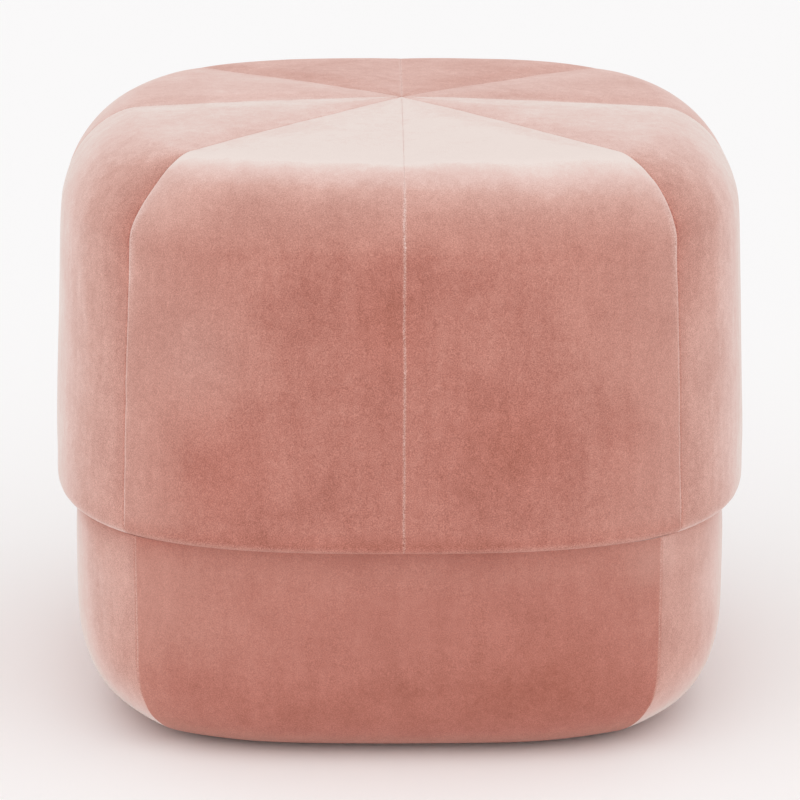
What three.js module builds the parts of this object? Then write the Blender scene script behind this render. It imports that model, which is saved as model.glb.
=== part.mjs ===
// A filled velvet pouf: eight gores form a wide upper part over a narrower base of four panels
// The plan is a rounded square. The part stands on Z = 0 with its front facing -Y. Sizes are in millimetres.
import * as THREE from "three";
import { mergeGeometries, mergeVertices } from "three/addons/utils/BufferGeometryUtils.js";

// Upper part: its side widens a little from the shoulder down to the lip
const UPPER_HALF_WIDTH = 225;
const SHOULDER_HALF_WIDTH = 220;
const SHOULDER_HEIGHT = 378.5;
const CROWN = 9;
const CROWN_POWER = 1.4;
const SHOULDER_IN = 49;
const SHOULDER_DOWN = 49;
const SHOULDER_POWER = 1.7;
const LIP_HEIGHT = 145;
const LIP_IN = 12.6;
const LIP_UP = 10;
const LIP_POWER = 3.2;

// The gores meet a little to the right of the middle, because the cover was pulled on by hand
const MEETING_SHIFT = 1.5;

// Base: a plinth with its lower edge drawn in to the floor
const BASE_HALF_WIDTH = 212.4;
const BASE_IN = 65.4;
const BASE_UP = 67;
const BASE_POWER = 2.4;

// Bottom panel, let into the underside of the base
const BOTTOM_HALF_WIDTH = 155;
const BOTTOM_THICKNESS = 3;

// Plans: rounded squares with a crease at each corner seam, where the stiff seam pushes the cloth out.
// The seams' angles are in degrees from the front or the back, on the right and on the left.
// The base's left seams are sewn a little further round than its right ones.
const UPPER_PLAN = { power: 2.83, right: 43.6, left: 43.6, crease: 0.011, reach: 36 };
const BASE_PLAN = { power: 3.42, right: 40.7, left: 42.3, crease: 0.018, reach: 10 };

// Seams: neighbours stay a hair apart, and the filling dips along each seam
const SEAM_GAP = 0.3;
const SEAM_DEPTH = 1.5;
const SEAM_REACH = 14;

// Steps along each stretch of the outlines, and across the panels
const TOP_STEPS = 6;
const SHOULDER_STEPS = 12;
const SIDE_STEPS = 6;
const LIP_STEPS = 5;
const BASE_STEPS = 12;
const GORE_COLUMNS = 14;
const BASE_COLUMNS = 26;

// Panels of each ring, as the angles of their two seams in degrees, from the front (-Y) towards +X
const GORES = [
  { name: "gore_front_right", from: 0, to: UPPER_PLAN.right },
  { name: "gore_right_front", from: UPPER_PLAN.right, to: 90 },
  { name: "gore_right_back", from: 90, to: 180 - UPPER_PLAN.right },
  { name: "gore_back_right", from: 180 - UPPER_PLAN.right, to: 180 },
  { name: "gore_back_left", from: 180, to: 180 + UPPER_PLAN.left },
  { name: "gore_left_back", from: 180 + UPPER_PLAN.left, to: 270 },
  { name: "gore_left_front", from: 270, to: 360 - UPPER_PLAN.left },
  { name: "gore_front_left", from: 360 - UPPER_PLAN.left, to: 360 },
];
const BASE_PANELS = [
  { name: "base_front", from: -BASE_PLAN.left, to: BASE_PLAN.right },
  { name: "base_right", from: BASE_PLAN.right, to: 180 - BASE_PLAN.right },
  { name: "base_back", from: 180 - BASE_PLAN.right, to: 180 + BASE_PLAN.left },
  { name: "base_left", from: 180 + BASE_PLAN.left, to: 360 - BASE_PLAN.left },
];

const VELVET = { color: 0xbd7c70, roughness: 0.9, metalness: 0 };
const BOTTOM_CLOTH = { color: 0x9c655a, roughness: 0.95, metalness: 0 };

const QUARTER_TURN = Math.PI / 2;
const { lerp, degToRad, smoothstep } = THREE.MathUtils;

// Radius of a plan of half-width 1 at an angle from the front
function planRadius(angle, { power, right, left, crease, reach }) {
  const along = Math.abs(Math.cos(angle));
  const across = Math.abs(Math.sin(angle));
  const rounded = (along ** power + across ** power) ** (-1 / power);
  const seam = degToRad(Math.sin(angle) < 0 ? left : right);
  const offSeam = Math.abs(Math.atan2(across, along) - seam);
  const pushedOut = Math.max(1 - offSeam / degToRad(reach), 0) ** 2;
  return rounded * (1 + crease * pushedOut);
}

// Points of a rounded corner, from its level end at (width, height) to its upright end
function roundedCorner(width, height, across, down, power, steps) {
  const points = [];
  for (let step = 0; step <= steps; step += 1) {
    const turn = (QUARTER_TURN * step) / steps;
    const w = width + across * Math.sin(turn) ** (2 / power);
    const z = height - down * (1 - Math.cos(turn) ** (2 / power));
    points.push({ w, z });
  }
  return points;
}

// Height that the crown adds at a distance from the middle
function crownAt(w) {
  return CROWN * (1 - Math.min(w / SHOULDER_HALF_WIDTH, 1) ** CROWN_POWER);
}

// Outline of the upper part from its middle underneath, up the side, to the middle of the top
function upperOutline(inset) {
  const flatEnd = SHOULDER_HALF_WIDTH - SHOULDER_IN;
  const top = [];
  for (let step = 0; step < TOP_STEPS; step += 1) {
    top.push({ w: (flatEnd * step) / TOP_STEPS, z: SHOULDER_HEIGHT });
  }
  const shoulder = roundedCorner(
    flatEnd, SHOULDER_HEIGHT, SHOULDER_IN, SHOULDER_DOWN, SHOULDER_POWER, SHOULDER_STEPS,
  );
  const crowned = [...top, ...shoulder].map(({ w, z }) => ({ w, z: z + crownAt(w) }));
  const sideTop = SHOULDER_HEIGHT - SHOULDER_DOWN;
  const sideFoot = LIP_HEIGHT + LIP_UP;
  const side = [];
  for (let step = 1; step <= SIDE_STEPS; step += 1) {
    const share = step / SIDE_STEPS;
    const flare = Math.sin(share * QUARTER_TURN);
    side.push({
      w: lerp(SHOULDER_HALF_WIDTH, UPPER_HALF_WIDTH, flare),
      z: lerp(sideTop, sideFoot, share),
    });
  }
  const lip = roundedCorner(
    UPPER_HALF_WIDTH - LIP_IN, -LIP_HEIGHT, LIP_IN, LIP_UP, LIP_POWER, LIP_STEPS,
  ).map(({ w, z }) => ({ w, z: -z })).reverse().slice(1);
  const skin = [...crowned, ...side, ...lip].map(({ w, z }) => ({
    w: Math.max(w - (inset * w) / UPPER_HALF_WIDTH, 0),
    z: z - inset * smoothstep(z, sideFoot, SHOULDER_HEIGHT),
  }));
  return [...skin, { w: 0, z: LIP_HEIGHT }].reverse();
}

// Outline of the base from its middle underneath, up the side, to the middle of its level top
function baseOutline(inset) {
  const rim = BOTTOM_HALF_WIDTH + SEAM_GAP;
  const footWidth = BASE_HALF_WIDTH - BASE_IN;
  const rimShare = ((rim - footWidth) / BASE_IN) ** BASE_POWER;
  const rimHeight = BASE_UP * (1 - (1 - rimShare) ** (1 / BASE_POWER));
  const curve = roundedCorner(footWidth, 0, BASE_IN, BASE_UP, BASE_POWER, BASE_STEPS)
    .map(({ w, z }) => ({ w, z: -z }))
    .filter(({ w }) => w > rim + 1);
  const recess = BOTTOM_THICKNESS + SEAM_GAP;
  const top = LIP_HEIGHT - SEAM_GAP;
  return [
    { w: 0, z: recess },
    { w: rim, z: recess },
    { w: rim, z: rimHeight },
    ...curve.map(({ w, z }) => ({ w: w - inset * smoothstep(w, rim, BASE_HALF_WIDTH), z })),
    { w: BASE_HALF_WIDTH - inset, z: (BASE_UP + top) / 2 },
    { w: BASE_HALF_WIDTH - inset, z: top },
    { w: 0, z: top },
  ];
}

// The same geometry with vertices that share a place merged and triangles that shrank to a line left out
function welded(geometry) {
  const merged = mergeVertices(geometry);
  const corners = merged.index.array;
  const kept = [];
  for (let first = 0; first < corners.length; first += 3) {
    const [a, b, c] = corners.slice(first, first + 3);
    if (a !== b && b !== c && c !== a) {
      kept.push(a, b, c);
    }
  }
  merged.setIndex(kept);
  return merged;
}

// A geometry with only positions, its vertices moved by a function of each one's place and number
function reshaped(geometry, move) {
  const bare = geometry.clone();
  bare.deleteAttribute("normal");
  bare.deleteAttribute("uv");
  const { position } = bare.attributes;
  for (let number = 0; number < position.count; number += 1) {
    const spot = new THREE.Vector3().fromBufferAttribute(position, number);
    const { x, y, z } = move(spot, number);
    position.setXYZ(number, x, y, z);
  }
  return bare;
}

// The same triangles facing the other way
function flipped(geometry) {
  geometry.setIndex(Array.from(geometry.index.array).reverse());
  return geometry;
}

// One filled panel: a turned slice of the outline, with a flat face along each of its two seams
function panelGeometry({ outline, plan, shift, from, to, columns }) {
  const start = degToRad(from);
  const sweep = degToRad(to - from);
  const full = outline(0);
  const drawnIn = outline(SEAM_DEPTH);
  const place = (w, z, angle) => {
    const radius = w * planRadius(angle, plan);
    const sideways = shift * (1 - w / UPPER_HALF_WIDTH);
    return new THREE.Vector3(radius * Math.sin(angle) + sideways, -radius * Math.cos(angle), z);
  };
  const slice = new THREE.LatheGeometry(
    full.map(({ w, z }) => new THREE.Vector2(w, z)), columns, start, sweep,
  );
  const skin = reshaped(slice, (_, number) => {
    const row = number % full.length;
    const share = Math.floor(number / full.length) / columns;
    const toSeam = full[row].w * sweep * Math.min(share, 1 - share);
    const puff = smoothstep(toSeam, 0, SEAM_REACH);
    const w = lerp(drawnIn[row].w, full[row].w, puff);
    const z = lerp(drawnIn[row].z, full[row].z, puff);
    return place(w, z, start + sweep * share);
  });
  const section = new THREE.ShapeGeometry(
    new THREE.Shape(drawnIn.map(({ w, z }) => new THREE.Vector2(w, z))),
  );
  const firstSeam = reshaped(section, ({ x, y }) => place(x, y, start));
  const secondSeam = flipped(reshaped(section, ({ x, y }) => place(x, y, start + sweep)));
  return welded(mergeGeometries([skin, firstSeam, secondSeam]));
}

// The step outwards that leaves half the seam gap on each side of a panel
function clearOfSeams(from, to) {
  const middle = degToRad((from + to) / 2);
  const away = SEAM_GAP / 2 / Math.sin(degToRad((to - from) / 2));
  return new THREE.Vector3(Math.sin(middle), -Math.cos(middle), 0).multiplyScalar(away);
}

// A named mesh with a material of its own
function piece(name, geometry, finish) {
  geometry.computeVertexNormals();
  const mesh = new THREE.Mesh(geometry, new THREE.MeshStandardMaterial(finish));
  mesh.name = name;
  return mesh;
}

// The flat panel that closes the underside, with its corners in line with the columns of the base
function bottomPanel() {
  const rim = [];
  for (const { from, to } of BASE_PANELS) {
    for (let column = 0; column < BASE_COLUMNS; column += 1) {
      const angle = degToRad(lerp(from, to, column / BASE_COLUMNS));
      const radius = BOTTOM_HALF_WIDTH * planRadius(angle, BASE_PLAN);
      rim.push(new THREE.Vector2(radius * Math.sin(angle), -radius * Math.cos(angle)));
    }
  }
  const geometry = new THREE.ExtrudeGeometry(new THREE.Shape(rim), {
    depth: BOTTOM_THICKNESS,
    bevelEnabled: false,
  });
  return piece("bottom_panel", geometry, BOTTOM_CLOTH);
}

const pouf = new THREE.Group();

for (const { name, from, to } of GORES) {
  const geometry = panelGeometry({
    outline: upperOutline,
    plan: UPPER_PLAN,
    shift: MEETING_SHIFT,
    from,
    to,
    columns: GORE_COLUMNS,
  });
  const gore = piece(name, geometry, VELVET);
  gore.position.copy(clearOfSeams(from, to));
  pouf.add(gore);
}

for (const { name, from, to } of BASE_PANELS) {
  const geometry = panelGeometry({
    outline: baseOutline,
    plan: BASE_PLAN,
    shift: 0,
    from,
    to,
    columns: BASE_COLUMNS,
  });
  const panel = piece(name, geometry, VELVET);
  panel.position.copy(clearOfSeams(from, to));
  pouf.add(panel);
}

pouf.add(bottomPanel());

export default pouf;
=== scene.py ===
import math
from typing import NamedTuple

import bmesh
import bpy
from bpy.props import FloatProperty, FloatVectorProperty, PointerProperty
from mathutils import Euler, Matrix, Vector, kdtree, noise


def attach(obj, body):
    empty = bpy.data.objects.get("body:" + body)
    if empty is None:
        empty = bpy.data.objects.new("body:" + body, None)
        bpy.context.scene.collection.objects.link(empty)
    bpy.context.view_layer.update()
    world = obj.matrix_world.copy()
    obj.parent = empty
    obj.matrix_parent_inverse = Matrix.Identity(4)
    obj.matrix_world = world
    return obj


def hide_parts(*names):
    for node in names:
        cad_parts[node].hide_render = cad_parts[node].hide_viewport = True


bl_info = {
    "name": "Velvet pouf",
    "version": (1, 0, 0),
    "blender": (4, 5, 0),
    "location": "3D View > Sidebar > Pouf",
    "description": "Builds a filled velvet pouf of eight gores over a base of four panels",
    "category": "Mesh",
}

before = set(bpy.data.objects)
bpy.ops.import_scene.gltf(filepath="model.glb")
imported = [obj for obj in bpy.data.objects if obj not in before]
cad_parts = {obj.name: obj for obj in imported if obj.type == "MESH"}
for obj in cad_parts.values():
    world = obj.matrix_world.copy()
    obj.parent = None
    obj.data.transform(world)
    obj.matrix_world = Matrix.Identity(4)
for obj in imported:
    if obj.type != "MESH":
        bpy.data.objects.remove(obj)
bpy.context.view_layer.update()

MM = 0.001
QUARTER_TURN = math.pi / 2

# The covers are cut a little small, because their filling swells them
UPPER_INSET = 1.0 * MM
BASE_INSET = 0.6 * MM
# Air round the bottom panel, and how far the base's rim is raised to come within 0.1 mm of the lip
BOTTOM_GAP = 0.3 * MM
RIM_RAISE = 0.2 * MM

# Angles of the seams of each gore and base panel, in degrees from the front (-Y) towards +X.
# The base's left seams are sewn a little further round than its right ones.
UPPER_SEAM = 43.6
BASE_RIGHT_SEAM = 40.7
BASE_LEFT_SEAM = 42.3
# Each panel is cut with its own lay: how far its pile leans, how many degrees the lean is turned
# sideways from straight up, and how much deeper the pile looks for lying flatter.
GORES = [
    # node, first seam, second seam, lean, turn, depth
    ("gore_front_right", 0.0, UPPER_SEAM, 0.4, 0.0, -0.015),
    ("gore_right_front", UPPER_SEAM, 90.0, 0.1, 0.0, 0.035),
    ("gore_right_back", 90.0, 180.0 - UPPER_SEAM, 0.4, 0.0, 0.03),
    ("gore_back_right", 180.0 - UPPER_SEAM, 180.0, 0.4, 0.0, -0.03),
    ("gore_back_left", 180.0, 180.0 + UPPER_SEAM, 0.4, 0.0, -0.05),
    ("gore_left_back", 180.0 + UPPER_SEAM, 270.0, 0.4, 0.0, -0.02),
    ("gore_left_front", 270.0, 360.0 - UPPER_SEAM, 0.1, 0.0, 0.035),
    ("gore_front_left", 360.0 - UPPER_SEAM, 360.0, 0.4, -12.0, -0.015),
]
BASE_PANELS = [
    # node, first seam, second seam, lean, turn, depth
    ("base_front", -BASE_LEFT_SEAM, BASE_RIGHT_SEAM, 0.8, -9.0, 0.05),
    ("base_right", BASE_RIGHT_SEAM, 180.0 - BASE_RIGHT_SEAM, 0.4, 0.0, -0.03),
    ("base_back", 180.0 - BASE_RIGHT_SEAM, 180.0 + BASE_LEFT_SEAM, 0.8, 0.0, 0.045),
    ("base_left", 180.0 + BASE_LEFT_SEAM, 360.0 - BASE_LEFT_SEAM, 0.2, 0.0, -0.02),
]
# Places where hands have stroked the pile flatter and deeper, or up and paler where the depth is below 0
STROKED = [
    # middle in mm, reach along the cloth and up in mm, depth
    ((-110, -188, 365), 70, 12, 0.09),
    ((94, -190, 369), 60, 12, -0.08),
    ((190, -155, 303), 30, 36, 0.10),
    ((-124, -207, 267), 28, 30, -0.15),
    ((-118, -212, 195), 36, 45, 0.12),
    ((-10, -221, 291), 20, 30, 0.09),
    ((67, -221, 215), 32, 30, 0.10),
    ((137, -205, 215), 20, 30, 0.08),
    ((152, -185, 130), 14, 14, -0.20),
    ((95, -200, 68), 60, 30, 0.07),
    ((-140, -165, 62), 40, 20, 0.12),
    ((180, -130, 62), 30, 16, 0.06),
    ((-185, -140, 130), 18, 18, 0.09),
]
# Stretches of the seams and the lip's edge, in mm above the lip: the middle, and how far from it they fade
CORNER_FOLD = (188, 40)
# Stretches of painted sheen and painted shade: beside the corner seams at the shoulder, and on the middle
# seams where they turn over it
CORNER_SHEEN = (190, 38)
CORNER_SHADE = (193, 35)
MIDDLE_SEAM_SHEEN = (213, 24)
HEM = (2, 2.5)
# Waves in a metre of the filling, of a wavering seam and of the hem's bumps
FILLING_WAVES = 14
SEAM_WAVES = 70
HEM_WAVES = 110


def linear(hex_colour):
    """Linear red, green and blue of an sRGB colour written as #rrggbb"""
    channels = [int(hex_colour[i : i + 2], 16) / 255 for i in (1, 3, 5)]
    return tuple(c / 12.92 if c <= 0.04045 else ((c + 0.055) / 1.055) ** 2.4 for c in channels)


def length(name, description, millimetres):
    """A length that the sidebar shows in the scene's units"""
    return FloatProperty(
        name=name, description=description, default=millimetres * MM, min=0.0, unit="LENGTH", precision=4
    )


def amount(name, description, default, low=0.0, high=10.0):
    """A plain number with limits"""
    return FloatProperty(name=name, description=description, default=default, min=low, max=high)


def colour(name, description, hex_colour):
    """A colour that the sidebar shows as a swatch"""
    return FloatVectorProperty(
        name=name, description=description, default=linear(hex_colour), size=3, min=0.0, max=1.0,
        subtype="COLOR",
    )


class PoufUpperSizes(bpy.types.PropertyGroup):
    """Sizes of the upper part"""

    half_width: length("Half width", "From the middle to the side at the lip", 226.8)
    shoulder_half_width: length("Shoulder half width", "From the middle to under the shoulder", 219.8)
    shoulder_height: length("Shoulder height", "Height of the top's edge before the crown", 379.5)
    crown: length("Crown", "How far the filling lifts the middle of the top", 9.0)
    crown_power: amount("Crown shape", "Higher keeps the top flat further out", 1.4, 0.5, 6.0)
    shoulder_in: length("Shoulder width", "How far in the shoulder's curve starts", 47.5)
    shoulder_down: length("Shoulder drop", "How far down the shoulder's curve ends", 47.5)
    shoulder_power: amount("Shoulder shape", "2 is round, and lower is slacker", 1.75, 1.0, 6.0)
    flare_power: amount("Side shape", "Higher keeps the side upright further down", 1.15, 0.5, 4.0)
    lip_height: length("Lip height", "Height of the flat underside above the floor", 145.0)
    lip_in: length("Lip overhang", "How far the lip stands out over the base", 12.6)
    lip_up: length("Lip rounding", "Height of the lip's rounded edge", 10.0)
    lip_power: amount("Lip shape", "2 is round, and higher is squarer", 3.2, 1.0, 8.0)
    plan_power: amount("Plan shape", "2 is a circle, and higher is squarer", 2.83, 2.0, 10.0)
    crease: amount("Corner crease", "How far a corner seam pushes the cloth out, as a share", 0.011, 0.0, 0.1)
    crease_reach: amount("Crease reach", "Degrees round a corner where the crease fades", 36.0, 1.0, 45.0)
    meeting_shift: length("Meeting shift", "How far to the right the gores meet", 1.5)
    back_shift: length("Back seam shift", "How far right the back seam lies at the top's edge", 3.7)
    corner_draw: length("Corner draw", "How far in the left front seam is drawn at the shoulder", 3.8)


class PoufBaseSizes(bpy.types.PropertyGroup):
    """Sizes of the base and its bottom"""

    half_width: length("Half width", "From the middle to the side of the base", 212.4)
    foot_in: length("Foot width", "How far the lower edge is drawn in", 65.4)
    foot_up: length("Foot height", "How high the lower edge's curve ends", 67.0)
    foot_power: amount("Foot shape", "2 is round, and higher is squarer", 2.4, 1.0, 6.0)
    top_height: length("Top height", "Height of the base's top, hidden under the lip", 144.7)
    plan_power: amount("Plan shape", "2 is a circle, and higher is squarer", 3.42, 2.0, 10.0)
    crease: amount("Corner crease", "How far a corner seam pushes the cloth out, as a share", 0.018, 0.0, 0.1)
    crease_reach: amount("Crease reach", "Degrees round a corner where the crease fades", 10.0, 1.0, 45.0)
    bottom_half_width: length("Bottom half width", "From the middle to the bottom cloth's edge", 155.0)
    bottom_thickness: length("Bottom thickness", "Thickness of the bottom cloth and its board", 3.0)


class PoufSeamSizes(bpy.types.PropertyGroup):
    """Sizes of the seams and the filling's swell"""

    gap: length("Seam gap", "Air between two neighbours", 0.01)
    roll: length("Rolled edge", "Radius of the pile's edge at a seam", 0.15)
    bend: length("Seam bend", "How far the cloth bends down into a seam", 0.35)
    bend_reach: length("Bend reach", "How far from a seam the bend starts", 1.8)
    dip: length("Seam dip", "How far the filling dips along a seam", 0.4)
    dip_reach: length("Dip reach", "How far from a seam the dip fades", 9.0)
    # The pile stands open this far from a seam, and is painted with sheen there
    sheen_reach: length("Open pile", "How far from a seam the pile stands open", 1.35)
    pucker: length("Pucker", "Height of the small ripples that the thread draws up", 0.15)
    pucker_spacing: length("Pucker spacing", "Distance between two ripples", 11.0)
    fold: length("Corner fold", "How deep a corner seam lies between the gores at the shoulder", 1.3)
    fold_reach: length("Fold reach", "How far from a corner seam the fold fades", 9.0)
    waver: length("Waver", "How far a seam strays from a straight line", 0.6)
    hem_ripple: length("Hem ripple", "Height of the small bumps along the lip's edge", 0.9)
    pressure: amount("Filling pressure", "How hard the filling pushes on the cover", 40.0, 0.0, 400.0)
    swell: length("Swell", "Most that the filling pushes a panel out", 1.3)
    wander: length("Wander", "Height of the slow unevenness of the filling", 0.5)


class PoufFinish(bpy.types.PropertyGroup):
    """Colours and pile of the velvet, and the bottom cloth"""

    # Dark rose is reached below deep rose, where the pile lies deepest and where painted shade deepens the
    # tone
    dark: colour("Dark rose", "Where the pile leans right at the eye", "#a4604f")
    deep: colour("Deep rose", "Where the eye looks straight into the pile", "#bc7b6e")
    rose: colour("Rose", "Where the pile starts to turn away", "#c3887b")
    blush: colour("Blush", "Where the pile is half turned away", "#ca968a")
    soft: colour("Soft blush", "Where the eye meets the pile aslant", "#d5a89d")
    pale: colour("Pale blush", "Where the eye grazes the pile", "#e4c4bc")
    tips: colour("Pile tips", "Where the eye runs along the pile", "#ecded8")
    clouds: amount("Clouds", "How strong the large brushed clouds are", 0.26, 0.0, 1.0)
    streaks: amount("Streaks", "How strong the streaks along the nap are", 0.14, 0.0, 1.0)
    bunches: amount("Bunches", "How strong the small bunches of pile are", 0.18, 0.0, 1.0)
    grain: amount("Grain", "How much the light on single tufts differs", 0.62, 0.0, 2.0)
    lining: colour("Bottom cloth", "Colour of the cloth under the base", "#9c655a")


class PoufStageSizes(bpy.types.PropertyGroup):
    """Camera, light and floor"""

    camera_back: length("Camera distance", "From the middle of the pouf, along the floor", 2346.0)
    camera_up: length("Camera height", "Above the floor", 845.3)
    camera_round: amount("Camera azimuth", "Degrees to the left of the front", 0.87, -180.0, 180.0)
    camera_down: amount("Camera pitch", "Degrees below level", 15.80, -90.0, 90.0)
    camera_roll: amount("Camera roll", "Degrees that the camera leans sideways", 0.136, -45.0, 45.0)
    lens: amount("Lens", "Focal length in millimetres", 164.0, 10.0, 500.0)
    lens_shift: amount("Lens shift", "Sideways shift, as a share of the picture", 0.0016, -1.0, 1.0)
    sky: amount("Sky", "Strength of the white light from all round", 0.8)
    floor: colour("Floor", "Colour of the pale floor", "#fbfafa")


def rising(value, start, reach):
    """0 up to the start, then rising evenly to 1 over the reach"""
    return min(max((value - start) / reach, 0.0), 1.0)


def fading(far, reach):
    """1 at no distance, falling evenly to 0 over the reach"""
    return max(1 - far / reach, 0.0)


def eased(share):
    """A share from 0 to 1, made to start and end gently"""
    return share * share * (3 - 2 * share)


def bell(value, middle, reach):
    """1 at the middle, fading away softly on both sides"""
    return math.exp(-(((value - middle) / reach) ** 2))


class Plan(NamedTuple):
    """Rounded-square plan of a tier, pushed out at its corner seams"""

    power: float  # 2 is a circle, and higher is squarer
    right_seam: float  # angle of its right corner seams from the front or back, in degrees
    left_seam: float  # the same of its left corner seams
    crease: float  # how far a corner seam pushes the cloth out, as a share
    reach: float  # how far round a corner the crease fades, in degrees


def upper_plan(sizes):
    """Plan of the upper part"""
    return Plan(sizes.plan_power, UPPER_SEAM, UPPER_SEAM, sizes.crease, sizes.crease_reach)


def base_plan(sizes):
    """Plan of the base and its bottom"""
    return Plan(sizes.plan_power, BASE_RIGHT_SEAM, BASE_LEFT_SEAM, sizes.crease, sizes.crease_reach)


def plan_radius(place, plan):
    """How far a plan of half-width 1 reaches in the direction of a place"""
    angle = math.atan2(place.x, -place.y)
    along, across = abs(math.cos(angle)), abs(math.sin(angle))
    rounded = (along**plan.power + across**plan.power) ** (-1 / plan.power)
    seam = plan.left_seam if math.sin(angle) < 0 else plan.right_seam
    off_seam = abs(math.atan2(across, along) - math.radians(seam))
    return rounded * (1 + plan.crease * fading(off_seam, math.radians(plan.reach)) ** 2)


def draw_out(skin, plan):
    """Draws a round skin out to a plan"""
    for point in skin.verts:
        if point.co.xy.length > 1e-6:
            out = plan_radius(point.co, plan)
            point.co.x *= out
            point.co.y *= out


def rounded_corner(width, height, across, down, power, rows):
    """Points of a rounded corner, from its level end at (width, height) to its upright end"""
    turns = [QUARTER_TURN * row / rows for row in range(rows + 1)]
    return [
        (
            width + across * max(math.sin(turn), 0.0) ** (2 / power),
            height - down * (1 - max(math.cos(turn), 0.0) ** (2 / power)),
        )
        for turn in turns
    ]


def upper_outline(sizes, inset):
    """Half outline of the upper part, from its middle underneath, up the side, to the middle of its top"""
    top_rows, shoulder_rows, side_rows, lip_rows = 26, 22, 30, 9
    flat_end = sizes.shoulder_half_width - sizes.shoulder_in
    top = [(flat_end * row / top_rows, sizes.shoulder_height) for row in range(top_rows)]
    shoulder = rounded_corner(
        flat_end, sizes.shoulder_height, sizes.shoulder_in, sizes.shoulder_down, sizes.shoulder_power,
        shoulder_rows,
    )
    crowned = [
        (w, z + sizes.crown * (1 - min(w / sizes.shoulder_half_width, 1) ** sizes.crown_power))
        for w, z in top + shoulder
    ]
    side_top = sizes.shoulder_height - sizes.shoulder_down
    side_foot = sizes.lip_height + sizes.lip_up
    flare = sizes.half_width - sizes.shoulder_half_width
    side = [
        (
            sizes.shoulder_half_width + flare * (row / side_rows) ** sizes.flare_power,
            side_top + (side_foot - side_top) * row / side_rows,
        )
        for row in range(1, side_rows + 1)
    ]
    # The lip is a rounded corner turned upside down
    lip = rounded_corner(
        sizes.half_width - sizes.lip_in, -sizes.lip_height, sizes.lip_in, sizes.lip_up, sizes.lip_power,
        lip_rows,
    )
    lip = [(w, -z) for w, z in reversed(lip)][1:]
    skin = []
    for w, z in crowned + side + lip:
        rise = rising(z, side_foot, sizes.shoulder_height - side_foot)
        skin.append((w * (1 - inset / sizes.half_width), z - inset * eased(rise)))
    underside = [(skin[-1][0] * share, sizes.lip_height) for share in (0.8, 0.4, 0.0)]
    return list(reversed(skin + underside))


def base_outline(sizes, inset):
    """Half outline of the base, from the middle of its recess, up the side, to the middle of its top"""
    foot_rows, wall_rows = 26, 16
    recess = sizes.bottom_thickness + BOTTOM_GAP
    rim = sizes.bottom_half_width + BOTTOM_GAP
    foot = sizes.half_width - sizes.foot_in
    share = ((rim - foot) / sizes.foot_in) ** sizes.foot_power
    rim_height = sizes.foot_up * (1 - (1 - share) ** (1 / sizes.foot_power))
    outline = [(0.0, recess), (rim * 0.6, recess), (rim, recess), (rim, rim_height)]
    for w, z in rounded_corner(foot, 0.0, sizes.foot_in, sizes.foot_up, sizes.foot_power, foot_rows):
        if w > rim + 1 * MM:
            rise = rising(w, rim, sizes.half_width - rim)
            outline.append((w - inset * eased(rise), -z))
    # The top's edge is rounded a little, and has rows close together where it is tucked up under the lip
    edge = 0.6 * MM
    wall = sizes.half_width - inset
    wall_height = sizes.top_height - edge - sizes.foot_up
    outline += [(wall, sizes.foot_up + wall_height * row / wall_rows) for row in range(1, wall_rows + 1)]
    outline += [(wall - edge / 4, sizes.top_height - edge / 4), (wall - edge, sizes.top_height)]
    outline += [(wall * share, sizes.top_height) for share in (0.985, 0.975, 0.96, 0.94, 0.6, 0.0)]
    return outline


def tuck_under_lip(skin, base, upper):
    """Raises the rim of the base's top to just under the lip, and further at the corners, where the base
    stands out under the lip's rounded edge"""
    plan = upper_plan(upper)
    start = base.top_height - 20 * MM
    for point in skin.verts:
        share = rising(point.co.z, start, base.top_height - start)
        if share > 0 and point.co.xy.length > 100 * MM:
            out = plan_radius(point.co, plan)
            flat_end = (upper.half_width - upper.lip_in - UPPER_INSET) * out
            over = rising(point.co.xy.length, flat_end, upper.lip_in * out)
            room = upper.lip_up * (1 - (1 - over**upper.lip_power) ** (1 / upper.lip_power))
            point.co.z += (room + RIM_RAISE) * eased(share)


def turned_skin(outline, plan, first, second, steps):
    """A bmesh of an outline spun from one angle to another and drawn out to its plan"""
    start, sweep = math.radians(first), math.radians(second - first)
    whole = abs(sweep - 2 * math.pi) < 1e-6
    skin = bmesh.new()
    points = [skin.verts.new((w * math.sin(start), -w * math.cos(start), z)) for w, z in outline]
    edges = [skin.edges.new(pair) for pair in zip(points, points[1:])]
    bmesh.ops.spin(
        skin, geom=points + edges, cent=(0, 0, 0), axis=(0, 0, 1), dvec=(0, 0, 0), angle=sweep, steps=steps,
        use_merge=whole, use_normal_flip=False, use_duplicate=False,
    )
    bmesh.ops.remove_doubles(skin, verts=skin.verts, dist=1e-6)
    draw_out(skin, plan)
    bmesh.ops.recalc_face_normals(skin, faces=skin.faces)
    return skin


def inward(angle, sign):
    """Level unit vector across a seam plane, pointing into the panel on one side of it"""
    turn = math.radians(angle)
    return Vector((math.cos(turn), math.sin(turn), 0)) * sign


def off_seams(place, seams):
    """0 up to 4 mm from the nearest of the seams at these angles, rising to 1 over the next 16 mm"""
    nearest = 1.0
    for seam in seams:
        turn = math.radians(seam)
        if place.x * math.sin(turn) - place.y * math.cos(turn) > 0:
            nearest = min(nearest, abs(place.dot(inward(seam, 1))))
    return rising(nearest, 4 * MM, 16 * MM)


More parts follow.
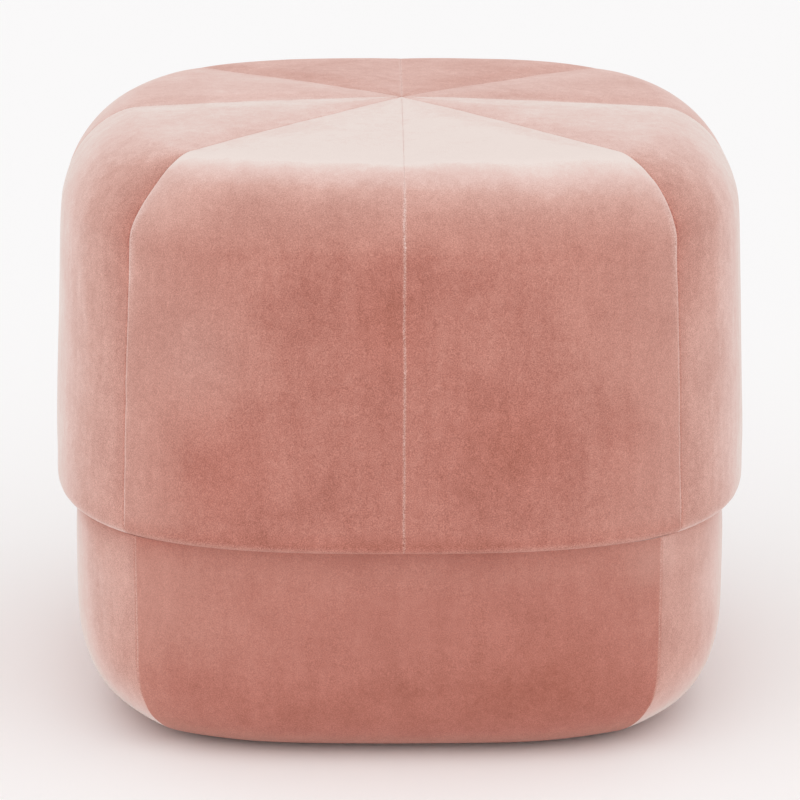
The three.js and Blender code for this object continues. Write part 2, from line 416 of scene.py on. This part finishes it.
def filled(form, held, pressure, most):
    """Where the points of a cover start and how far its filling pushes each, from a cloth simulation.
    form is the cover's closed bmesh, held gives how firmly a place is held, and most caps the travel."""
    last_frame = 20
    scene = bpy.context.scene
    cover = bpy.data.objects.new("cover", bpy.data.meshes.new("cover"))
    form.to_mesh(cover.data)
    scene.collection.objects.link(cover)
    even = cover.modifiers.new("even cloth", "REMESH")
    even.mode = "VOXEL"
    even.voxel_size = 8 * MM
    evaluated = cover.evaluated_get(bpy.context.evaluated_depsgraph_get())
    cloth_mesh = bpy.data.meshes.new_from_object(evaluated)
    cover.modifiers.clear()
    cover.data = cloth_mesh
    start = [point.co.copy() for point in cloth_mesh.vertices]
    group = cover.vertex_groups.new(name="held")
    for number, place in enumerate(start):
        group.add([number], held(place), "REPLACE")
    cloth = cover.modifiers.new("filling", "CLOTH")
    cloth.settings.quality = 5
    cloth.settings.mass = 0.3
    cloth.settings.use_pressure = True
    cloth.settings.uniform_pressure_force = pressure
    cloth.settings.vertex_group_mass = "held"
    cloth.settings.effector_weights.gravity = 0.0
    cloth.point_cache.frame_start = 1
    cloth.point_cache.frame_end = last_frame
    for number in range(1, last_frame + 1):
        scene.frame_set(number)
    evaluated = cover.evaluated_get(bpy.context.evaluated_depsgraph_get())
    pushes = []
    for place, point in zip(start, evaluated.data.vertices):
        push = point.co - place
        pushes.append(push * (math.tanh(push.length / most) * most / max(push.length, 1e-9)))
    bpy.data.objects.remove(cover)
    scene.frame_set(1)
    return start, pushes


def carry(skin, start, pushes):
    """Moves each point of a skin as the 14 simulated points round it were pushed, the nearer the more"""
    tree = kdtree.KDTree(len(start))
    for number, place in enumerate(start):
        tree.insert(place, number)
    tree.balance()
    for point in skin.verts:
        total, weight = Vector(), 0.0
        for _, number, far in tree.find_n(point.co, 14):
            near = 1 / (far + 3 * MM) ** 2
            total += pushes[number] * near
            weight += near
        point.co += total / weight


def add_seam_rows(skin, sides, seams):
    """Cuts rows of edges beside both seams, close enough together to bend the cloth down and roll its edge"""
    curve = [seams.roll * (1 - math.cos(QUARTER_TURN * row / 3)) for row in (1, 2, 3)]
    bend = [seams.roll + (seams.bend_reach - seams.roll) * share for share in (0.25, 0.5, 0.75, 1.0, 2.0)]
    for _, across in sides:
        for far in curve + bend:
            bmesh.ops.bisect_plane(
                skin, geom=skin.verts[:] + skin.edges[:] + skin.faces[:], dist=5e-6,
                plane_co=across * far, plane_no=across, clear_inner=False, clear_outer=False,
            )
    # The rows crowd together at both ends of the axis, so the points there are merged
    crowd = [point for point in skin.verts if point.co.xy.length < 0.5 * MM]
    heights = [point.co.z for point in crowd]
    low, high = min(heights), max(heights)
    for end in (low, high):
        near = [point for point in crowd if point.is_valid and abs(point.co.z - end) < (high - low) / 2]
        bmesh.ops.pointmerge(skin, verts=near, merge_co=(0, 0, end))


class SeamPlace(NamedTuple):
    """How a point of a panel lies to the nearer of its two seams"""

    far: float  # distance from the seam
    seam: float  # angle of the seam in degrees
    across: Vector  # level unit vector from the seam into the panel
    corner: float  # 1 at a corner seam, and 0 at a middle one
    height: float  # height above the lip in mm
    level: float  # 1 where the cloth is level, and 0 where it is upright
    low: float  # 1, and less near the floor, where the seam is pulled flat
    hem: float  # 1 along the outer edge of the lip, and 0 away from it


def seam_place(point, sides, lip):
    """How a point lies to the nearer of two seams, given as an angle and the vector into the panel"""
    far, seam, across = min((point.co.dot(across), seam, across) for seam, across in sides)
    height, level = (point.co.z - lip) / MM, abs(point.normal.z)
    return SeamPlace(
        far=max(far, 0.0), seam=seam, across=across, corner=abs(math.sin(math.radians(2 * seam))),
        height=height, level=level, low=max(rising(point.co.z / MM, 15, 50), 0.25),
        hem=bell(height, *HEM) * (1 - level * level),
    )


def sheen_by_seam(at, faces_sideways, behind, seams):
    """How much painted sheen lies beside a seam, where the pile stands open: about half on a wall, all of it
    where a middle seam turns over the shoulder, and less where the cloth is level, except at the middle seams
    behind"""
    on_wall, on_top, turning_over = 0.55, 0.25, 1.0
    reach_on_top, reach_turning_over = 0.6, 1.3
    over = bell(at.height, *MIDDLE_SEAM_SHEEN) * (1 - at.corner)
    flat = 0.0 if behind and at.corner < 0.5 else at.level * at.level
    share = on_wall + (on_top - on_wall) * flat + (turning_over - on_wall) * over
    reach = seams.sheen_reach * (1 + (reach_on_top - 1) * flat + (reach_turning_over - 1) * over)
    # On its side gore or side panel, a corner seam gets only a little of the painted sheen
    shows = 0.15 if faces_sideways and at.corner > 0.5 else 1.0
    return share * shows * at.low * fading(at.far, reach)


def mark_gore(point, at, faces_sideways, painted_sheen, shade_and_light):
    """Paints sheen and shade on a gore's pile beside the corner seams at the shoulder, and along the lip"""
    # In mm above the lip: where the painted marks of the shoulder start, and where the painted shade along
    # the hem ends and fades
    shoulder_start, hem_top, hem_fade = 100, 14, 7
    corner_shade_reach, corner_sheen_reach = 12 * MM, 5.5 * MM
    # At the shoulder, where a corner seam lies in a fold, the front gore's pile beside it is painted paler as
    # sheen where the fold turns it away, and the side gore's is painted darker as shade in the fold
    if at.corner > 0.5 and at.height > shoulder_start:
        if faces_sideways:
            point[shade_and_light] = 0.4 * bell(at.height, *CORNER_SHADE) * math.exp(-at.far / corner_shade_reach)
        else:
            corner_sheen = 0.7 * bell(at.height, *CORNER_SHEEN) * fading(at.far, corner_sheen_reach)
            point[painted_sheen] = max(point[painted_sheen], corner_sheen)
    # Painted sheen lies along the hem on its loose tufts, most near the corners. In front and behind, the
    # lip's lower edge gets painted shade.
    near_corner = abs(math.sin(2 * math.atan2(point.co.x, point.co.y)))
    point[painted_sheen] = max(point[painted_sheen], (0.02 + 0.4 * near_corner) * at.hem)
    if not faces_sideways:
        point[shade_and_light] = 0.6 * rising(hem_top - at.height, 0, hem_fade) * (1 - 0.5 * near_corner)


def mark_base(point, at, shade_and_light):
    """Paints shade on the base's pile just under the lip, most at the left and less at the right, and paints
    light on it in the middle
    """
    lit_middle, shade_left, shade_right, mm_down = 0.3, 0.75, 0.45, 8
    to_left, to_right = rising(-point.co.x / MM, 110, 40), rising(point.co.x / MM, 150, 40)
    under_lip = math.exp(min(at.height, 0.0) / mm_down)
    point[shade_and_light] = (shade_left * to_left + shade_right * to_right - lit_middle) * under_lip


def mark_pile(skin, sides, faces_sideways, of_base, seams, lip):
    """Marks painted sheen where the pile stands open, and painted shade, or below 0 painted light"""
    painted_sheen = skin.verts.layers.float.new("open_pile_painted_sheen")
    shade_and_light = skin.verts.layers.float.new("painted_shade_and_light")
    for point in skin.verts:
        at = seam_place(point, sides, lip)
        point[painted_sheen] = sheen_by_seam(at, faces_sideways, point.co.y > 0, seams)
        if of_base:
            mark_base(point, at, shade_and_light)
        else:
            mark_gore(point, at, faces_sideways, painted_sheen, shade_and_light)


def shape_seams(skin, sides, of_base, seams, lip):
    """Bends the cloth down and rolls its edge over into both seams, with the dip and the puckers beside them.
    lip is the height where the gores sit on the base, and the filling stays even there."""
    # Radius of the calm middle of the top, mm above and below the lip that stay flat, and reach of the waver
    meeting, resting, stray_reach = 60 * MM, 15, 8 * MM
    moves = []
    for point in skin.verts:
        place, at = point.co, seam_place(point, sides, lip)
        flat = at.level * at.level
        turned_in = fading(at.far, seams.roll)
        sink = seams.roll * (1 - math.sqrt(max(1 - turned_in * turned_in, 0.0)))
        # The cloth bends down into a seam on a wall, and hardly where it is level or near the floor
        sink += seams.bend * (1 - 0.85 * flat) * at.low * fading(at.far, seams.bend_reach) ** 2
        # The thread draws the filling down and puckers it, but not where all the seams meet
        drawn = math.exp(-at.far / seams.dip_reach) * min(place.xy.length / meeting, 1.0)
        sink += seams.dip * drawn * (1 - 0.5 * flat)
        sink += seams.pucker * noise.noise(place / seams.pucker_spacing * 1.7) * drawn * 2
        # A corner seam lies in a fold where it turns over the shoulder
        sink += seams.fold * at.corner * bell(at.height, *CORNER_FOLD) * math.exp(-at.far / seams.fold_reach)
        # The filling is a little uneven, but where the gores rest on the base both stay flat
        off_lip = min(abs(at.height) / resting, 1.0)
        sink -= seams.wander * off_lip * noise.noise(place * FILLING_WAVES + Vector((3.1, 7.7, 1.3)))
        if not of_base:
            sink -= seams.hem_ripple * at.hem * noise.noise(place * HEM_WAVES)
        sink *= 1 - at.level * (1 - off_lip)
        move = point.normal * -sink
        if point.is_boundary:
            move -= at.across * move.dot(at.across)
        stray = seams.waver * noise.noise(place * SEAM_WAVES) * fading(at.far, stray_reach) * off_lip
        moves.append(move + inward(at.seam, 1) * stray)
    for point, move in zip(skin.verts, moves):
        point.co += move


def close_seams(skin):
    """Fills both seam faces, and marks their edges so that the pile stays crisp there"""
    crease = skin.edges.layers.float.new("crease_edge")
    rim = [edge for edge in skin.edges if edge.is_boundary]
    ends = {point for edge in rim for point in edge.verts}
    on_axis = [point for point in ends if point.co.xy.length < 0.2 * MM]
    low = min(on_axis, key=lambda point: point.co.z)
    high = max(on_axis, key=lambda point: point.co.z)
    axis = skin.edges.new((low, high))
    bmesh.ops.holes_fill(skin, edges=rim + [axis], sides=0)
    for edge in rim + [axis]:
        edge[crease] = 1.0
        edge.smooth = False


def settle_seams(skin, sizes):
    """Moves the place where the gores meet a little to the right, and the back seam on top with it,
    and draws the left front seam in where it turns over the shoulder"""
    # The stretch of the left front seam that is drawn in: its height, and its reach up and in degrees round
    drawn_height, drawn_reach, drawn_turn = sizes.shoulder_height - 13.5 * MM, 17 * MM, 14
    for point in skin.verts:
        inner = fading(point.co.xy.length, sizes.half_width)
        backward = rising(point.co.y, 0.0, sizes.half_width)
        on_top = rising(point.co.z, sizes.shoulder_height - sizes.shoulder_down, sizes.shoulder_down)
        beside = fading(abs(point.co.x), sizes.half_width)
        angle = math.degrees(math.atan2(point.co.x, -point.co.y))
        drawn = bell(angle, -UPPER_SEAM, drawn_turn) * bell(point.co.z, drawn_height, drawn_reach)
        point.co.x += sizes.meeting_shift * inner + sizes.back_shift * backward * on_top * beside
        point.co.x += sizes.corner_draw * drawn * (1 - inner) ** 2


def stroked_depth(place):
    """How much deeper the pile looks at a place where hands have stroked it"""
    total = 0.0
    for middle, along, upward, depth in STROKED:
        off = place / MM - Vector(middle)
        total += depth * math.exp(-(off.xy.length_squared / along**2) - (off.z / upward) ** 2)
    return total


def new_object(name, mesh_name, skin, material):
    """Makes an object of a skin, and frees the skin"""
    mesh = bpy.data.meshes.new(mesh_name)
    skin.to_mesh(mesh)
    skin.free()
    made = bpy.data.objects.new(name, mesh)
    bpy.context.scene.collection.objects.link(made)
    mesh.materials.append(material)
    return made


def finished_piece(skin, name, outward, lean, turn, depth, material):
    """Makes an object of a closed skin, marked with the vector across its pile and with its lay"""
    across = skin.verts.layers.float_vector.new("across")
    leans = skin.verts.layers.float.new("lean")
    depths = skin.verts.layers.float.new("depth")
    up, aside = Vector((0, 0, 1)), math.radians(turn)
    across_pile = up.cross(outward) * math.cos(aside) - up * math.sin(aside)
    for point in skin.verts:
        point[across] = across_pile
        point[leans] = lean
        point[depths] = depth + stroked_depth(point.co)
    bmesh.ops.recalc_face_normals(skin, faces=skin.faces)
    for face in skin.faces:
        face.smooth = True
    piece = new_object("dressed_" + name, name, skin, material)
    finer = piece.modifiers.new("finer", "SUBSURF")
    finer.levels = 1
    finer.render_levels = 1
    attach(piece, "root")
    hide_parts(name)
    return piece


def add_node(tree, kind, inputs=None, **settings):
    """Adds a shader node, sets its own settings, and sets or links its input sockets by name or number"""
    made = tree.nodes.new("ShaderNode" + kind)
    for name, value in settings.items():
        setattr(made, name, value)
    for name, value in (inputs or {}).items():
        if isinstance(value, bpy.types.NodeSocket):
            tree.links.new(value, made.inputs[name])
        else:
            made.inputs[name].default_value = value
    return made


def new_material(name):
    """A material with an empty node tree"""
    made = bpy.data.materials.get(name) or bpy.data.materials.new(name)
    made.use_nodes = True
    made.node_tree.nodes.clear()
    return made


def show_surface(tree, inputs):
    """Ends a material's nodes with its surface, which takes these inputs"""
    surface = add_node(tree, "BsdfPrincipled", inputs)
    add_node(tree, "OutputMaterial", {"Surface": surface.outputs["BSDF"]})


def velvet_patterns(tree, place):
    """Clouds, streaks, bunches and the grain of the velvet, each a value from 0 to 1"""
    along_nap = add_node(tree, "Mapping", {"Vector": place, "Scale": (120.0, 120.0, 16.0)}).outputs["Vector"]
    patterns = (
        # Clouds 40 mm across, where hands have pressed the pile another way
        {"Vector": place, "Scale": 24.0, "Detail": 4.0, "Roughness": 0.55, "Distortion": 0.4},
        # Streaks along the nap, 8 mm wide and 60 mm long
        {"Vector": along_nap, "Scale": 1.0, "Detail": 3.0, "Roughness": 0.6},
        # Bunches of pile 5 mm across, left by brushing
        {"Vector": place, "Scale": 190.0, "Detail": 2.0, "Roughness": 0.6, "Distortion": 0.8},
        # Tufts of pile are about 0.3 mm, drawn at 0.7 mm so that the grain shows
        {"Vector": place, "Scale": 1450.0, "Detail": 0.0},
    )
    return [add_node(tree, "TexNoise", pattern).outputs["Fac"] for pattern in patterns]


def aslant_to_pile(tree, lean):
    """How far aslant the eye meets the pile: 0 where it looks straight in, and 1 where it runs along it.
    The pile leans along the nap, up the walls and towards the middle on top."""
    normal = add_node(tree, "NewGeometry").outputs["Normal"]
    across = add_node(tree, "Attribute", attribute_name="across").outputs["Vector"]
    nap = add_node(tree, "VectorMath", {0: normal, 1: across}, operation="CROSS_PRODUCT")
    even_nap = add_node(tree, "VectorMath", {0: nap.outputs[0]}, operation="NORMALIZE")
    leaning = add_node(tree, "VectorMath", {0: even_nap.outputs[0], "Scale": lean}, operation="SCALE")
    pile = add_node(tree, "VectorMath", {0: normal, 1: leaning.outputs[0]}, operation="ADD")
    pile_way = add_node(tree, "VectorMath", {0: pile.outputs[0]}, operation="NORMALIZE")
    aslant = add_node(tree, "LayerWeight", {"Blend": 0.5, "Normal": pile_way.outputs[0]})
    return aslant.outputs["Facing"]


def worn_tone(tree, aslant, grain):
    """The pile's place on the scale of colours, from deep at 0 to pale at 1, with its marks of use and its
    painted shade, light and sheen
    """
    # Tones that the painted shade and the painted sheen draw the pile towards
    shade_tone, sheen_tone = -0.12, 0.72
    depth = add_node(tree, "Attribute", attribute_name="depth").outputs["Fac"]
    tone = add_node(tree, "Math", {0: aslant, 1: depth}, operation="SUBTRACT").outputs[0]
    # Painted shade draws the tone deep. Where it is below 0, it is painted light instead, and makes the tone
    # paler.
    shade_and_light = add_node(tree, "Attribute", attribute_name="painted_shade_and_light").outputs["Fac"]
    over_shade = add_node(tree, "Math", {0: tone, 1: shade_tone}, operation="SUBTRACT")
    painted_shading = add_node(tree, "Math", {0: over_shade.outputs[0], 1: shade_and_light}, operation="MULTIPLY")
    tone = add_node(tree, "Math", {0: tone, 1: painted_shading.outputs[0]}, operation="SUBTRACT").outputs[0]
    # Painted sheen of open pile shows on tufts here and there: no tuft where the grain is under 0.28, and
    # more above it
    painted_sheen = add_node(tree, "Attribute", attribute_name="open_pile_painted_sheen").outputs["Fac"]
    in_places = add_node(tree, "Math", {0: grain, 1: 3.6, 2: -1.0}, operation="MULTIPLY_ADD")
    sheen_share = add_node(
        tree, "Math", {0: painted_sheen, 1: in_places.outputs[0]}, operation="MULTIPLY", use_clamp=True
    )
    to_sheen = add_node(tree, "Math", {0: sheen_tone, 1: tone}, operation="SUBTRACT")
    return add_node(
        tree, "Math", {0: to_sheen.outputs[0], 1: sheen_share.outputs[0], 2: tone}, operation="MULTIPLY_ADD"
    ).outputs[0]


def rose_scale(tree, tone, finish):
    """The velvet's colour for a tone, which may be a little under 0 where the pile lies deepest and where
    shade is painted
    """
    start = 0.15
    spread = add_node(tree, "Math", {0: tone, 1: 1 - start, 2: start}, operation="MULTIPLY_ADD")
    tones = add_node(tree, "ValToRGB", {"Fac": spread.outputs[0]})
    stops = (
        (0.0, finish.dark), (0.15, finish.deep), (0.235, finish.rose), (0.405, finish.blush),
        (0.575, finish.soft), (0.745, finish.pale), (0.915, finish.tips),
    )
    ramp = tones.color_ramp
    while len(ramp.elements) < len(stops):
        ramp.elements.new(0.5)
    for element, (at, stop_colour) in zip(ramp.elements, stops):
        element.position = at
        element.color = (*stop_colour, 1.0)
    return tones.outputs["Color"]


def cotton_velvet(finish):
    """Short-pile cotton velvet: deep where the eye looks into the pile, and pale where it meets it aslant,
    so each gore takes its own tone from the way its nap lies"""
    material = new_material("cotton_velvet")
    tree = material.node_tree
    place = add_node(tree, "TexCoord").outputs["Object"]
    clouds, streaks, bunches, grain = velvet_patterns(tree, place)
    lean = add_node(tree, "Attribute", attribute_name="lean").outputs["Fac"]
    tone = worn_tone(tree, aslant_to_pile(tree, lean), grain)

    # Brushing leaves the pile uneven, 1.2 times as much where it stands up and half where it leans right over
    brushed = add_node(tree, "Math", {0: lean, 1: -0.7, 2: 1.2}, operation="MULTIPLY_ADD")
    brushing = 0.0
    for pattern, strength in ((clouds, finish.clouds), (streaks, finish.streaks), (bunches, finish.bunches)):
        shifted = add_node(tree, "Math", {0: pattern, 1: 0.5}, operation="SUBTRACT")
        brushing = add_node(
            tree, "Math", {0: shifted.outputs[0], 1: strength, 2: brushing}, operation="MULTIPLY_ADD"
        ).outputs[0]
    tufts = add_node(tree, "Math", {0: grain, 1: 0.5}, operation="SUBTRACT").outputs[0]
    brushing, tufts = [
        add_node(tree, "Math", {0: pattern, 1: brushed.outputs[0]}, operation="MULTIPLY").outputs[0]
        for pattern in (brushing, tufts)
    ]
    # Both shift the tone along the scale, the single tufts only a little
    uneven_tone = tone
    for pattern, share in ((brushing, 0.7), (tufts, 0.1)):
        uneven_tone = add_node(
            tree, "Math", {0: pattern, 1: share, 2: uneven_tone}, operation="MULTIPLY_ADD"
        ).outputs[0]

    # Tufts and brushed patches also catch more or less light, which shows fully where the eye looks into
    # the pile, and by a tenth where it looks along it
    squared = add_node(tree, "Math", {0: tone, 1: tone}, operation="MULTIPLY")
    showing = add_node(tree, "Math", {0: squared.outputs[0], 1: -1.5, 2: 1.0}, operation="MULTIPLY_ADD")
    at_least = add_node(tree, "Math", {0: showing.outputs[0], 1: 0.1}, operation="MAXIMUM")
    patches = add_node(tree, "Math", {0: tufts, 1: finish.grain, 2: brushing}, operation="MULTIPLY_ADD")
    light = add_node(
        tree, "Math", {0: patches.outputs[0], 1: at_least.outputs[0], 2: 1.0}, operation="MULTIPLY_ADD"
    )
    rose = rose_scale(tree, uneven_tone, finish)
    lit = add_node(tree, "VectorMath", {0: rose, "Scale": light.outputs[0]}, operation="SCALE")
    # The grain is raised a little by tufts of uneven height
    relief = add_node(tree, "Bump", {"Strength": 0.25, "Distance": 0.4 * MM, "Height": grain})
    show_surface(tree, {
        "Base Color": lit.outputs[0],
        "Normal": relief.outputs["Normal"],
        "Roughness": 0.95,
        "Specular IOR Level": 0.15,
        "Sheen Weight": 0.08,
        "Sheen Roughness": 0.45,
        "Sheen Tint": (*finish.pale, 1.0),
    })
    return material


def woven_lining(finish):
    """Plain-woven polyester lining: flat and matt, with a fine square weave"""
    material = new_material("woven_lining")
    tree = material.node_tree
    place = add_node(tree, "TexCoord").outputs["Object"]
    # Threads are 0.4 mm apart, drawn 2 mm apart so that the weave shows
    threads = [
        add_node(
            tree, "TexWave", {"Vector": place, "Scale": 160.0, "Distortion": 0.6, "Detail": 1.0},
            wave_type="BANDS", bands_direction=axis, wave_profile="SIN",
        ).outputs["Fac"]
        for axis in ("X", "Y")
    ]
    weave = add_node(tree, "Math", {0: threads[0], 1: threads[1]}, operation="MULTIPLY")
    light_thread = tuple(min(c * 1.25, 1.0) for c in finish.lining)
    dark_thread = tuple(c * 0.7 for c in finish.lining)
    mixed = add_node(
        tree, "Mix", {"Factor": weave.outputs[0], 6: (*dark_thread, 1.0), 7: (*light_thread, 1.0)},
        data_type="RGBA",
    )
    relief = add_node(tree, "Bump", {"Strength": 0.4, "Distance": 0.3 * MM, "Height": weave.outputs[0]})
    show_surface(tree, {
        "Base Color": mixed.outputs[2],
        "Normal": relief.outputs["Normal"],
        "Roughness": 0.85,
        "Specular IOR Level": 0.3,
    })
    return material


def floor_paint(tone):
    """Matt paint of one tone for the floor"""
    material = new_material("floor_paint")
    show_surface(material.node_tree, {"Base Color": (*tone, 1.0), "Roughness": 0.9})
    return material


def build_tier(context, panels, outline, plan, held, columns, of_base, tuck=None, settle=None):
    """Builds the panels of one tier from its outline, all swollen by the same simulation. held gives how
    firmly a place is held in it, tuck changes a skin before it swells, and settle after it is closed."""
    seams, lip = context.scene.pouf_seams, context.scene.pouf_upper.lip_height
    velvet = cotton_velvet(context.scene.pouf_finish)
    pushed = None
    form = turned_skin(outline, plan, 0.0, 360.0, steps=240)
    pushed = filled(form, held, seams.pressure, seams.swell)
    form.free()
    for name, first, second, lean, turn, depth in panels:
        middle = math.radians((first + second) / 2)
        faces_sideways = abs(math.sin(middle)) > abs(math.cos(middle))
        sides = ((first, inward(first, 1)), (second, inward(second, -1)))
        skin = turned_skin(outline, plan, first, second, columns)
        if tuck:
            tuck(skin)
        if pushed:
            carry(skin, *pushed)
        add_seam_rows(skin, sides, seams)
        skin.normal_update()
        mark_pile(skin, sides, faces_sideways, of_base, seams, lip)
        shape_seams(skin, sides, of_base, seams, lip)
        close_seams(skin)
        if settle:
            settle(skin)
        # Each panel moves outward until the seam gap is open on both sides of it
        outward = Vector((math.sin(middle), -math.cos(middle), 0))
        clear = seams.gap / 2 / math.sin(math.radians((second - first) / 2))
        bmesh.ops.translate(skin, verts=skin.verts, vec=outward * clear)
        piece = finished_piece(skin, name, outward, lean, turn, depth, velvet)


class PoufGores(bpy.types.Operator):
    """Builds the eight gores of the upper part"""

    bl_idname = "pouf.gores"
    bl_label = "Gores"

    def execute(self, context):
        sizes = context.scene.pouf_upper
        seam_angles = [panel[1] for panel in GORES]

        def held(place):
            above_lip = rising(place.z, sizes.lip_height + 12 * MM, 25 * MM)
            return 1.0 - off_seams(place, seam_angles) * above_lip

        build_tier(
            context, GORES, upper_outline(sizes, UPPER_INSET), upper_plan(sizes), held, columns=30,
            of_base=False, settle=lambda skin: settle_seams(skin, sizes),
        )
        return {"FINISHED"}


class PoufBase(bpy.types.Operator):
    """Builds the four panels of the base"""

    bl_idname = "pouf.base"
    bl_label = "Base"

    def execute(self, context):
        sizes, upper = context.scene.pouf_base, context.scene.pouf_upper
        seam_angles = [panel[1] for panel in BASE_PANELS]

        def held(place):
            above_floor = rising(place.z, 8 * MM, 25 * MM)
            below_top = rising(sizes.top_height - place.z, 5 * MM, 15 * MM)
            return 1.0 - off_seams(place, seam_angles) * above_floor * below_top

        build_tier(
            context, BASE_PANELS, base_outline(sizes, BASE_INSET), base_plan(sizes), held, columns=56,
            of_base=True, tuck=lambda skin: tuck_under_lip(skin, sizes, upper),
        )
        return {"FINISHED"}


class PoufBottom(bpy.types.Operator):
    """Builds the cloth-covered bottom that closes the base"""

    bl_idname = "pouf.bottom"
    bl_label = "Bottom"

    def execute(self, context):
        sizes = context.scene.pouf_base
        sheet = bmesh.new()
        bmesh.ops.create_circle(sheet, cap_ends=True, radius=sizes.bottom_half_width, segments=180)
        draw_out(sheet, base_plan(sizes))
        raised = bmesh.ops.extrude_face_region(sheet, geom=sheet.faces[:])["geom"]
        bmesh.ops.translate(
            sheet, verts=[part for part in raised if isinstance(part, bmesh.types.BMVert)],
            vec=(0, 0, sizes.bottom_thickness),
        )
        bmesh.ops.recalc_face_normals(sheet, faces=sheet.faces)
        # The cloth is drawn round the board's edges, which are rounded by 0.8 mm
        rims = [edge for edge in sheet.edges if edge.calc_face_angle(0.0) > 1.0]
        bmesh.ops.bevel(
            sheet, geom=rims, offset=0.8 * MM, affect="EDGES", segments=3, profile=0.5, material=-1,
            clamp_overlap=True,
        )
        # The two large faces stay flat, and the narrow ones round the edge are shaded as one curve
        for face in sheet.faces:
            face.smooth = len(face.verts) == 4
        lining = woven_lining(context.scene.pouf_finish)
        piece = new_object("dressed_bottom_panel", "bottom_panel", sheet, lining)
        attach(piece, "root")
        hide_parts("bottom_panel")
        return {"FINISHED"}


class PoufStage(bpy.types.Operator):
    """Sets up the floor, the studio light and the camera"""

    bl_idname = "pouf.stage"
    bl_label = "Stage"

    def execute(self, context):
        scene, sizes = context.scene, context.scene.pouf_stage
        ground = bmesh.new()
        bmesh.ops.create_circle(ground, cap_ends=True, radius=30.0, segments=96)
        new_object("floor", "floor", ground, floor_paint(sizes.floor))

        world = bpy.data.worlds.new("studio")
        world.use_nodes = True
        sky = world.node_tree.nodes["Background"]
        sky.inputs["Color"].default_value = (1.0, 1.0, 1.0, 1.0)
        sky.inputs["Strength"].default_value = sizes.sky
        scene.world = world
        lamps = [
            # name, azimuth from the front, height in degrees, width in degrees, strength
            ("overhead softbox", 0.0, 62.0, 80.0, 0.55),
            ("left softbox", -62.0, 28.0, 60.0, 0.15),
            ("right softbox", 62.0, 28.0, 60.0, 0.12),
        ]
        for name, azimuth, height, width, strength in lamps:
            light = bpy.data.lights.new(name, "SUN")
            light.angle = math.radians(width)
            light.energy = strength
            lamp = bpy.data.objects.new(name, light)
            lamp.rotation_euler = (math.radians(90 - height), 0, math.radians(azimuth))
            lamp.location = (0, 0, 2)
            scene.collection.objects.link(lamp)

        lens = bpy.data.cameras.new("camera")
        lens.sensor_width = 36.0
        lens.lens = sizes.lens
        lens.shift_x = sizes.lens_shift
        camera = bpy.data.objects.new("camera", lens)
        turn = math.radians(sizes.camera_round)
        away = Vector((-math.sin(turn), -math.cos(turn), 0)) * sizes.camera_back
        camera.location = away + Vector((0, 0, sizes.camera_up))
        aim = Euler((math.radians(90 - sizes.camera_down), 0, -turn)).to_matrix()
        roll = Matrix.Rotation(math.radians(sizes.camera_roll), 3, "Z")
        camera.rotation_euler = (aim @ roll).to_euler()
        scene.collection.objects.link(camera)
        scene.camera = camera
        # Plain colours, so that the velvet's tones come out as they are mixed
        scene.view_settings.view_transform = "Standard"
        return {"FINISHED"}


class PoufPanel(bpy.types.Panel):
    """Lists the pouf's pieces and sizes"""

    bl_idname = "VIEW3D_PT_pouf"
    bl_label = "Pouf"
    bl_space_type = "VIEW_3D"
    bl_region_type = "UI"
    bl_category = "Pouf"

    def draw(self, context):
        for operator in OPERATORS:
            self.layout.operator(operator.bl_idname)
        for attribute in GROUPS:
            group = getattr(context.scene, attribute)
            box = self.layout.box()
            for name in group.__annotations__:
                box.prop(group, name)


GROUPS = {
    "pouf_upper": PoufUpperSizes,
    "pouf_base": PoufBaseSizes,
    "pouf_seams": PoufSeamSizes,
    "pouf_finish": PoufFinish,
    "pouf_stage": PoufStageSizes,
}
OPERATORS = (PoufGores, PoufBase, PoufBottom, PoufStage)


def register():
    """Registers the classes and hangs the groups of sizes on the scene"""
    for made in (*GROUPS.values(), *OPERATORS, PoufPanel):
        bpy.utils.register_class(made)
    for attribute, group in GROUPS.items():
        setattr(bpy.types.Scene, attribute, PointerProperty(type=group))


def unregister():
    """Takes the groups off the scene and unregisters the classes"""
    for attribute in GROUPS:
        delattr(bpy.types.Scene, attribute)
    for made in (PoufPanel, *reversed(OPERATORS), *reversed(GROUPS.values())):
        bpy.utils.unregister_class(made)


def main():
    register()
    bpy.ops.pouf.gores()
    bpy.ops.pouf.base()
    bpy.ops.pouf.bottom()
    bpy.ops.pouf.stage()


if __name__ == "__main__":
    main()
